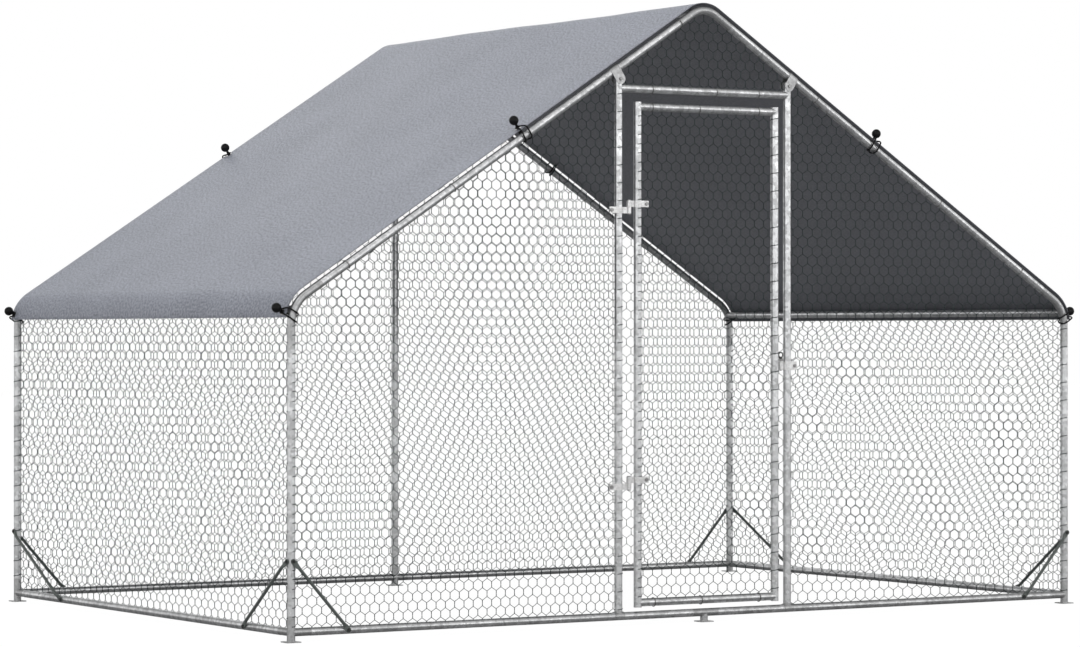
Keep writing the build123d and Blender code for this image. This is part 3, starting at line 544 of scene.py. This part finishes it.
def uneven(points):
    """Moves each knot a little, by slow and quick waves, as hand-stretched netting is never quite even."""
    u = points[..., 0]
    v = points[..., 1]
    sideways = np.sin(9 * v + 3 * u) + 0.7 * np.sin(71 * u - 53 * v)
    upward = np.sin(8 * u - 4 * v) + 0.7 * np.sin(67 * v + 59 * u)
    return points + net_unevenness * np.stack([sideways, upward], -1)


def edges_of(outline):
    """Each edge of an outline: its number, first corner, direction and inward normal."""
    for index, corner in enumerate(outline):
        along = outline[(index + 1) % len(outline)] - corner
        along = along / np.hypot(*along)
        yield index, corner, along, np.array([-along[1], along[0]])


def clipped(wires, outline):
    """Keeps the part of each wire inside a convex outline, with the edge that cut each end."""
    start = np.zeros(len(wires))
    stop = np.ones(len(wires))
    cut = np.full((len(wires), 2), -1)
    for index, corner, _, inward in edges_of(outline):
        first = (wires[:, 0] - corner) @ inward
        last = (wires[:, 1] - corner) @ inward
        crossing = first / np.where(first == last, 1, first - last)
        enters = (first < 0) & (last > 0) & (crossing > start)
        leaves = (first > 0) & (last < 0) & (crossing < stop)
        start = np.where(enters, crossing, start)
        stop = np.where(leaves, crossing, stop)
        cut[enters, 0] = index
        cut[leaves, 1] = index
        stop = np.where((first <= 0) & (last <= 0), -1, stop)
    keep = stop - start > least_wire_share
    step = wires[:, 1] - wires[:, 0]
    first_end = wires[:, 0] + start[:, None] * step
    last_end = wires[:, 0] + stop[:, None] * step
    return np.stack([first_end, last_end], 1)[keep], cut[keep]


def wire_net(node, body, origin, across, outline, cell, first_row, twist, laced):
    """Stretches a net over an upright flat outline.

    laced gives the lacing of each outline edge whose tube carries it, with its half turns counted from the
    net's side of the tube over the outside.
    """
    half_turns, stations = twist
    outline = np.array(outline)
    origin = np.array(origin)
    across = np.array(across)
    up = np.array((0, 0, 1))
    outward = np.cross(across, up)

    def placed(flat):
        clearance = np.full(flat.shape[:-1], 1.0)
        for _, corner, _, inward in edges_of(outline):
            clearance = np.minimum(clearance, (flat - corner) @ inward)
        free = np.clip(clearance / net_bulge_margin, 0, 1)
        u = flat[..., 0:1]
        v = flat[..., 1:2]
        swell = net_bulge * free[..., None] * np.sin(6.3 * u + 1.1) * np.sin(5.1 * v + 0.6)
        return origin + u * across + v * up + swell * outward

    twists, slants = hex_wires(outline, cell, first_row)
    twists, twist_cut = clipped(twists, outline)
    slants, slant_cut = clipped(slants, outline)
    share = np.linspace(0, 1, stations)[None, :, None]
    twist_paths = placed(twists[:, 0:1] * (1 - share) + twists[:, 1:2] * share)
    parts = [
        swept(placed(slants), outward, round_outline(wire_radius, wire_corners, 2)),
        swept(twist_paths, outward, twisted_outline(half_turns, stations)),
    ]
    ends = np.concatenate([twists.reshape(-1, 2), slants.reshape(-1, 2)])
    cuts = np.concatenate([twist_cut.reshape(-1), slant_cut.reshape(-1)])
    for index, corner, along, inward in edges_of(outline):
        if index not in laced:
            continue
        spacing, first_turn, last_turn = laced[index]
        reach = np.sort((ends[cuts == index] - corner) @ along)
        places = []
        for distance in reach:
            if not places or distance - places[-1] > spacing:
                places.append(distance)
        axis = along[0] * across + along[1] * up
        toward = inward[0] * across + inward[1] * up
        centre = corner + np.array(places)[:, None] * along - net_reach * inward
        centre = origin + centre[:, 0:1] * across + centre[:, 1:2] * up
        angle = np.linspace(first_turn * math.pi, last_turn * math.pi, lacing_stations)
        radius = tube_radius + lacing_standoff
        wrap = radius * (np.cos(angle)[:, None] * toward + np.sin(angle)[:, None] * outward)
        wrap = wrap + lacing_drift * angle[:, None] * axis
        lacing = round_outline(lacing_radius, lacing_corners, lacing_stations)
        parts.append(swept(centre[:, None] + wrap[None], axis, lacing, closed=True))
    points, faces = joined(parts)
    piece = add_piece(node + "_wires", points, faces, body, net_wire, smooth=False)
    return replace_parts(piece, node)


def under_arch(x):
    """Height of the lower side of the front and back arches above a place between the walls."""
    x = abs(x)
    if x < ridge_bend * math.sin(slope):
        return ridge_centre + math.sqrt((ridge_bend - net_reach) ** 2 - x * x)
    return ridge_height - x * math.tan(slope) - net_reach / math.cos(slope)


def arch_side(inner_x):
    """Outline of half an end wall on the +X side, from the rail up to the arch and back to its post."""
    wall = half_width - net_reach
    outline = [(inner_x, rail_height + net_reach), (wall, rail_height + net_reach), (wall, bend_start)]
    for share in net_bend_shares:
        turn = share * eave_turn
        inside = eave_bend - net_reach
        outline.append((bend_centre + inside * math.cos(turn), bend_start + inside * math.sin(turn)))
    if inner_x < ridge_bend * math.sin(slope):
        inside = ridge_bend - net_reach
        outline.append((inside * math.sin(slope), ridge_centre + inside * math.cos(slope)))
    outline.append((inner_x, under_arch(inner_x)))
    return outline


def flipped(outline):
    """The same outline on the -X side."""
    return [(-x, z) for x, z in reversed(outline)]


along_x = (1, 0, 0)
front_half = arch_side(door_post_offset + net_reach)
back_half = arch_side(net_reach)
front_last = len(front_half) - 1
back_last = len(back_half) - 1
front_left_laced = {front_last - 2: close_lacing, front_last: over_lacing}
front_right_laced = {1: close_lacing, front_last: hidden_lacing}
back_left_laced = {back_last - 2: back_lacing, back_last: back_middle_lacing}
back_right_laced = {1: back_lacing, back_last: back_middle_lacing}
end_walls = (
    ("net_front_left", -half_depth, flipped(front_half), front_left_cell, front_left_laced, front_twist),
    ("net_front_right", -half_depth, front_half, front_right_cell, front_right_laced, front_twist),
    ("net_back_left", half_depth, flipped(back_half), back_left_cell, back_left_laced, far_twist),
    ("net_back_right", half_depth, back_half, back_right_cell, back_right_laced, far_twist),
)
for node, y, outline, cell, laced, twist in end_walls:
    wire_net(node, "coop_frame", (0, y, 0), along_x, outline, cell, end_row, twist, laced)

gable_side = door_post_offset - net_reach
gable_top = [(gable_side, header_height + net_reach), (gable_side, under_arch(gable_side))]
for share in (1.0, 0.5):
    turn = share * slope
    inside = ridge_bend - net_reach
    gable_top.append((inside * math.sin(turn), ridge_centre + inside * math.cos(turn)))
gable = gable_top + flipped(gable_top)
front_origin = (0, -half_depth, 0)
wire_net("net_gable", "coop_frame", front_origin, along_x, gable, door_cell, gable_row, front_twist, {})

door_low = door_rail_low + net_reach
door_high = door_rail_high - net_reach
door_gap = [
    (hinge_stile_x + net_reach, door_low),
    (latch_stile_x - net_reach, door_low),
    (latch_stile_x - net_reach, door_high),
    (hinge_stile_x + net_reach, door_high),
]
stile_laced = {1: latch_stile_lacing, 3: hinge_stile_lacing}
wire_net("net_door", "door", front_origin, along_x, door_gap, door_cell, door_row, front_twist, stile_laced)

wall_end = half_depth - net_reach
wall_outline = [
    (-wall_end, rail_height + net_reach),
    (wall_end, rail_height + net_reach),
    (wall_end, wall_net_top),
    (-wall_end, wall_net_top),
]
side_walls = (
    ("net_right", 1, right_cell, {1: outside_lacing, 3: close_lacing}),
    ("net_left", -1, left_cell, {1: close_lacing, 3: close_lacing}),
)
for node, side, cell, laced in side_walls:
    wall_origin = (side * half_width, 0, 0)
    wire_net(node, "coop_frame", wall_origin, (0, side, 0), wall_outline, cell, side_row, far_twist, laced)


# Ring ties on the tubes that the nets hang from.
def ring_ties(name, body, places):
    """Wire rings closed round a tube, one for each place and tube direction."""
    parts = []
    for place, axis in places:
        axis = np.array(Vector(axis).normalized())
        first = np.array([0.0, 1.0, 0.0])
        second = np.cross(axis, first)
        angle = np.linspace(tie_start, 2 * math.pi + tie_overlap, tie_stations)
        radius = tube_radius + tie_standoff + tie_opening * angle
        ring = radius[:, None] * (np.cos(angle)[:, None] * first + np.sin(angle)[:, None] * second)
        ring = ring + tie_drift * angle[:, None] * axis
        wire = round_outline(tie_radius, tie_corners, tie_stations)
        parts.append(swept((np.array(place) + ring)[None], axis, wire, closed=True))
    points, faces = joined(parts)
    return add_piece(name, points, faces, body, bolt_steel)


frame_ties = [((x, -half_depth, header_height), along_x) for x in header_ties]
for side, reaches in ((1, right_rafter_ties), (-1, left_rafter_ties)):
    for reach in reaches:
        place = (side * reach, -half_depth, ridge_height - reach * math.tan(slope))
        frame_ties.append((place, (side * math.cos(slope), 0, -math.sin(slope))))
ring_ties("frame_ring_ties", "coop_frame", frame_ties)
door_ties = [((x, -half_depth, door_rail_high), along_x) for x in door_top_ties]
door_ties += [((x, -half_depth, door_rail_low), along_x) for x in door_low_ties]
ring_ties("door_ring_ties", "door", door_ties)


# Roof cover.
def cover_point(run, depth, lift):
    """A place on the cover: run from the ridge, negative on the left, and depth along the ridge."""
    side = np.sign(run)
    run = np.abs(run)
    on_ridge = run <= ridge_arc
    on_eave = run > ridge_arc + straight_run
    turn = np.where(on_ridge, run / cover_ridge_bend, slope)
    turn = np.where(on_eave, slope + (run - ridge_arc - straight_run) / cover_eave_bend, turn)
    centre_x = np.where(on_eave, bend_centre, 0.0)
    centre_z = np.where(on_eave, bend_start, ridge_centre)
    slide = np.where(on_ridge | on_eave, 0.0, run - ridge_arc)
    reach = np.where(on_eave, cover_eave_bend, cover_ridge_bend) + lift
    x = centre_x + reach * np.sin(turn) + slide * math.cos(slope)
    z = centre_z + reach * np.cos(turn) - slide * math.sin(slope)
    return np.stack([np.where(side < 0, -x, x), depth, z], -1)


def cover_stations(length, edge, steps):
    """Places along one half of the cover, closer together at the hem."""
    inner = np.linspace(0, length - edge - cover_hem_fold, steps)
    return np.concatenate([inner, [length - edge, length - edge / 2, length - cover_edge_round, length]])


def cover_sheet():
    """The cover as a thin closed sheet, with a thicker hem and slight ripples, and its flat plan as UV."""
    run_half = np.concatenate([
        np.linspace(0, ridge_arc, cover_ridge_steps)[:-1],
        np.linspace(ridge_arc, ridge_arc + straight_run, cover_slope_steps)[:-1],
        cover_stations(eave_arc, cover_hem_width, cover_eave_steps) + ridge_arc + straight_run,
    ])
    depth_half = cover_stations(cover_half_depth, cover_hem_width, cover_depth_steps)
    runs = np.concatenate([-run_half[:0:-1], run_half])
    depths = np.concatenate([-depth_half[:0:-1], depth_half])
    run, depth = np.meshgrid(runs, depths, indexing="ij")
    from_edge = np.minimum(half_run - np.abs(run), cover_half_depth - np.abs(depth))
    slack = np.clip((from_edge - cover_taut_margin) / cover_slack_width, 0, 1)
    ripple = np.sin(3.1 * run + 1.7 * depth + 0.4) + 0.8 * np.sin(5.3 * depth - 2.2 * run)
    ripple = ripple + 0.45 * np.sin(11.0 * run * depth + 2.0) + 0.3 * np.sin(17 * depth + 6 * run)
    ripple = cover_ripple * slack * ripple
    in_hem = from_edge < cover_hem_width - cover_hem_fold / 4
    on_rim = from_edge < cover_edge_round / 2
    half_thick = cover_thickness / 2 + np.where(in_hem, cover_hem_thickness, 0.0)
    half_thick = np.where(on_rim, half_thick / 2, half_thick)
    outside = cover_point(run, depth, ripple + half_thick).reshape(-1, 3)
    inside = cover_point(run, depth, ripple - half_thick).reshape(-1, 3)
    rows, columns = run.shape
    index = np.arange(rows * columns).reshape(rows, columns)
    top = np.stack([index[:-1, :-1], index[1:, :-1], index[1:, 1:], index[:-1, 1:]], -1).reshape(-1, 4)
    under = top[:, ::-1] + rows * columns
    rim = np.concatenate([index[:-1, -1], index[-1, :0:-1], index[:0:-1, 0], index[0, :-1]])
    onward = np.roll(rim, -1)
    edge = np.stack([rim, onward, onward + rows * columns, rim + rows * columns], -1)
    points = np.vstack([outside, inside])
    faces = np.vstack([top, under, edge])
    piece = add_piece("roof_cover_sheet", points, faces, "coop_frame", cover_outside)
    mesh = piece.data
    mesh.materials.append(cover_inside)
    sides = np.concatenate([np.zeros(len(top)), np.ones(len(under)), np.ones(len(edge))]).astype(int)
    mesh.polygons.foreach_set("material_index", sides)
    flat = np.stack([run.ravel(), depth.ravel()], -1)
    flat = np.vstack([flat, flat])
    layer = mesh.uv_layers.new(name="cloth")
    corners = np.empty(len(mesh.loops), dtype=np.int32)
    mesh.loops.foreach_get("vertex_index", corners)
    layer.data.foreach_set("uv", flat[corners].ravel())
    mesh.update()
    return piece


cover = cover_sheet()
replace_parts(cover, "roof_cover")


# Ball bungees: each site has its place on the tube, the ways out and along the tube, and its heights.
bungee_sites = []
for end in (-1, 1):
    for side in (-1, 1):
        rafter_z = ridge_height - rafter_bungee_x * math.tan(slope)
        rafter_place = Vector((side * rafter_bungee_x, end * half_depth, rafter_z))
        rafter_out = Vector((side * math.sin(slope), 0, math.cos(slope)))
        rafter_along = Vector((-side * math.cos(slope), 0, math.sin(slope)))
        rafter_heights = (rafter_eyelet_top, rafter_ball_out)
        bungee_sites.append((rafter_place, rafter_out, rafter_along, end, *rafter_heights))
        bend_out = Vector((side * math.cos(eave_bungee_turn), 0, math.sin(eave_bungee_turn)))
        eave_place = Vector((side * bend_centre, end * half_depth, bend_start)) + eave_bend * bend_out
        eave_out = Vector((side * math.cos(eave_bungee_rise), 0, math.sin(eave_bungee_rise)))
        eave_along = Vector((-side * math.sin(eave_bungee_turn), 0, math.cos(eave_bungee_turn)))
        eave_heights = (eave_eyelet_top, eave_ball_out)
        bungee_sites.append((eave_place, eave_out, eave_along, end, *eave_heights))


def half_cord(eyelet_top, ball_out):
    """Half a bungee's loop from its ball: depth inward, way out and way along the tube."""
    neck = eyelet_top + cord_neck_rise
    hook_short = 0.383 * cord_hook
    hook_long = 0.924 * cord_hook
    return (
        (cord_wrap, ball_out - 0.005, 0.0014),
        (cord_wrap, eyelet_top + 0.002, 0.0026),
        (cord_wrap, 0.0120, 0.0030),
        (cord_wrap, -cord_wrap, 0.0045),
        (-cord_wrap, -cord_wrap, 0.0130),
        (-cord_wrap, 0.0140, 0.0125),
        (-cord_wrap + 0.0010, neck - 0.001, 0.0115),
        (cord_wrap - hook_short, neck, hook_long),
        (cord_wrap + hook_short, neck, hook_long),
        (cord_wrap + hook_long, neck, hook_short),
    )


cord_curve = bpy.data.curves.new("bungee_loops", "CURVE")
cord_curve.dimensions = "3D"
cord_curve.bevel_depth = cord_radius
cord_curve.bevel_resolution = 3
cord_curve.resolution_u = 6
cord_curve.use_fill_caps = True
cord_curve.materials.append(elastic_cord)
for place, outward, along, end, eyelet_top, ball_out in bungee_sites:
    inward = Vector((0, -end, 0))
    half = half_cord(eyelet_top, ball_out)
    loop = list(half) + [(x, y, -z) for x, y, z in reversed(half)]
    spline = cord_curve.splines.new("NURBS")
    spline.points.add(len(loop) - 1)
    for point, (x, y, z) in zip(spline.points, loop):
        spot = place + x * inward + y * outward + z * along
        point.co = (spot.x, spot.y, spot.z, 1)
    spline.order_u = 3
    spline.use_endpoint_u = True
cords = bpy.data.objects.new("bungee_loops", cord_curve)
bpy.context.scene.collection.objects.link(cords)
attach(cords, "coop_frame")
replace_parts(cords, "bungee_cords")


def ball_profile():
    """Half section of a moulded ball, from the cord hole underneath, over the seam, to the dimple on top."""
    profile = [(0.0052, -0.0120), (0.0052, -0.0136), (0.0060, -0.0138)]
    for angle in ball_rings:
        seam = ball_seam if abs(angle) < 2 else 0.0
        turn = math.radians(angle)
        profile.append(((ball_radius - seam) * math.cos(turn), (ball_radius - seam) * math.sin(turn)))
    profile += [(0.0034, 0.0145), (0.0030, 0.0142), (0.0026, 0.0128), (0.0001, 0.0126)]
    return np.array(profile)


def bungee_ball_set():
    """All the balls, each turned from the half section and set on its cord."""
    profile = ball_profile()
    around = np.arange(ball_segments) * 2 * math.pi / ball_segments
    parts = []
    for place, outward, _, end, _, ball_out in bungee_sites:
        inward = Vector((0, -end, 0))
        along = np.array(inward.cross(outward))
        centre = np.array(place + cord_wrap * inward + ball_out * outward)
        reach = np.cos(around)[:, None] * np.array(inward) + np.sin(around)[:, None] * along
        points = centre + profile[None, :, 0:1] * reach[:, None] + profile[None, :, 1:2] * np.array(outward)
        steps = len(profile)
        turn, step = np.meshgrid(np.arange(ball_segments), np.arange(steps - 1), indexing="ij")
        here = turn * steps + step
        beside = (turn + 1) % ball_segments * steps + step
        faces = np.stack([here, here + 1, beside + 1, beside], -1).reshape(-1, 4)
        parts.append((points.reshape(-1, 3), faces))
    points, faces = joined(parts)
    piece = add_piece("bungee_ball_set", points, faces, "coop_frame", ball_plastic)
    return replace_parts(piece, "bungee_balls")


bungee_ball_set()

# Finishes of the frame, fittings and hardware, by the start of each node's name; a later row wins.
node_finishes = (
    (galvanised_tube, ("base_rail", "corner_post", "back_post", "door_")),
    (galvanised_tube, ("rafters", "eave_rail", "ridge_rail")),
    (fitting_steel, ("base_corner", "base_tee", "eave_elbow", "ridge_elbow")),
    (fitting_steel, ("door_post_top_saddles", "door_post_base_saddles")),
    (zinc_hardware, ("hinge_", "latch_")),
    (bolt_steel, ("frame_bolts", "door_bolts", "hinge_pins", "latch_eye")),
    (dark_hardware, ("brace_screws", "latch_pin")),
    (brace_paint, ("end_braces", "side_braces")),
    (eyelet_metal, ("cover_eyelets",)),
)
for material, starts in node_finishes:
    for name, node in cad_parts.items():
        if name.startswith(starts):
            node.data.materials.clear()
            node.data.materials.append(material)


# Floor, light and camera.
def studio_floor():
    """A pale floor just under the feet: white to the camera, matte to the coop and darker in the metal."""
    ways = ((-1, -1), (1, -1), (1, 1), (-1, 1))
    corners = [(x * floor_reach, y * floor_reach, -floor_drop) for x, y in ways]
    mesh = bpy.data.meshes.new("studio_floor")
    mesh.from_pydata(corners, [], [(0, 1, 2, 3)])
    floor = bpy.data.objects.new("studio_floor", mesh)
    bpy.context.scene.collection.objects.link(floor)
    material = bpy.data.materials.new("studio_floor")
    material.use_nodes = True
    tree = material.node_tree
    tree.nodes.remove(tree.nodes["Principled BSDF"])
    ray = add_node(tree, "LightPath")
    matte = add_node(tree, "BsdfDiffuse", Color=floor_matte).outputs[0]
    mirrored = add_node(tree, "BsdfDiffuse", Color=floor_mirrored).outputs[0]
    glow = add_node(tree, "Emission", Color=studio_white, Strength=floor_glow).outputs[0]
    ground = add_node(tree, "MixShader", n0=ray.outputs["Is Glossy Ray"], n1=matte, n2=mirrored).outputs[0]
    seen = scaled(tree, ray.outputs["Is Camera Ray"], floor_glow_share)
    paint = add_node(tree, "MixShader", n0=seen, n1=ground, n2=glow).outputs[0]
    tree.links.new(paint, tree.nodes["Material Output"].inputs["Surface"])
    mesh.materials.append(material)


def light_ramp(tree, value, stops):
    """Studio brightness along one way of looking round, from stops of value and brightness."""
    low = stops[0][0]
    high = stops[-1][0]
    ramp = add_node(tree, "ValToRGB", Fac=ranged(tree, value, low, high, 0.0, 1.0))
    while len(ramp.color_ramp.elements) < len(stops):
        ramp.color_ramp.elements.new(0.5)
    for element, (place, brightness) in zip(ramp.color_ramp.elements, stops):
        element.position = (place - low) / (high - low)
        element.color = (brightness, brightness, brightness, 1)
    return ramp.outputs[0]


# Brightness of the studio that the metal mirrors, by the turn from front to right in radians, and by height.
round_stops = (
    (-3.14, 0.50), (-2.5, 0.57), (-1.9, 0.88), (-1.4, 0.95), (-0.9, 0.85), (-0.4, 0.84),
    (0.1, 0.88), (0.6, 0.94), (1.3, 0.82), (2.0, 0.60), (3.14, 0.50),
)
up_stops = ((-1.0, 0.2), (0.0, 1.0), (0.14, 1.0), (0.32, 0.66), (0.50, 0.40), (0.70, 0.24), (1.0, 0.15))


def studio_world():
    """White to the camera, plain light on the coop, and a graded studio for the metal to mirror."""
    world = bpy.data.worlds.new("studio")
    bpy.context.scene.world = world
    world.use_nodes = True
    tree = world.node_tree
    direction = add_node(tree, "SeparateXYZ", Vector=add_node(tree, "TexCoord").outputs["Generated"])
    to_front = scaled(tree, direction.outputs[1], -1.0)
    facing = math_node(tree, "ARCTAN2", direction.outputs[0], to_front)
    round_light = light_ramp(tree, facing, round_stops)
    up_light = light_ramp(tree, direction.outputs[2], up_stops)
    graded = mixed(tree, 1.0, round_light, up_light, "MULTIPLY")
    studio = add_node(tree, "Background", Color=graded, Strength=mirrored_light).outputs[0]
    plain = add_node(tree, "Background", Color=studio_white, Strength=plain_light).outputs[0]
    white = add_node(tree, "Background", Color=studio_white, Strength=background_light).outputs[0]
    ray = add_node(tree, "LightPath")
    lit = add_node(tree, "MixShader", n0=ray.outputs["Is Glossy Ray"], n1=plain, n2=studio).outputs[0]
    sky = add_node(tree, "MixShader", n0=ray.outputs["Is Camera Ray"], n1=lit, n2=white).outputs[0]
    tree.links.new(sky, tree.nodes["World Output"].inputs["Surface"])


def soft_light(name, place, aim, width, height, watts):
    """A softbox that looks from its place to its aim."""
    lamp = bpy.data.lights.new(name, "AREA")
    lamp.shape = "RECTANGLE"
    lamp.size = width
    lamp.size_y = height
    lamp.energy = watts
    light = bpy.data.objects.new(name, lamp)
    bpy.context.scene.collection.objects.link(light)
    light.location = place
    light.rotation_euler = (Vector(aim) - Vector(place)).to_track_quat("-Z", "Y").to_euler()


studio_floor()
studio_world()
soft_light("key_softbox", (-4.5, -2.5, 9.0), (0, 0, 0.8), 5.0, 5.0, 130)
soft_light("fill_softbox", (0.0, -7.0, 7.5), (0, 0, 0.9), 5.0, 5.0, 50)
soft_light("back_softbox", (2.0, 7.0, 5.0), (0, 0, 1.0), 5.0, 3.0, 60)

lens = bpy.data.cameras.new("photo_camera")
lens.sensor_fit = "HORIZONTAL"
lens.sensor_width = camera_sensor
lens.lens = camera_lens
camera = bpy.data.objects.new("photo_camera", lens)
bpy.context.scene.collection.objects.link(camera)
camera.location = camera_place
camera.rotation_euler = (math.radians(camera_tilt), 0, math.radians(camera_turn))
bpy.context.scene.camera = camera
bpy.context.scene.view_settings.view_transform = "Standard"
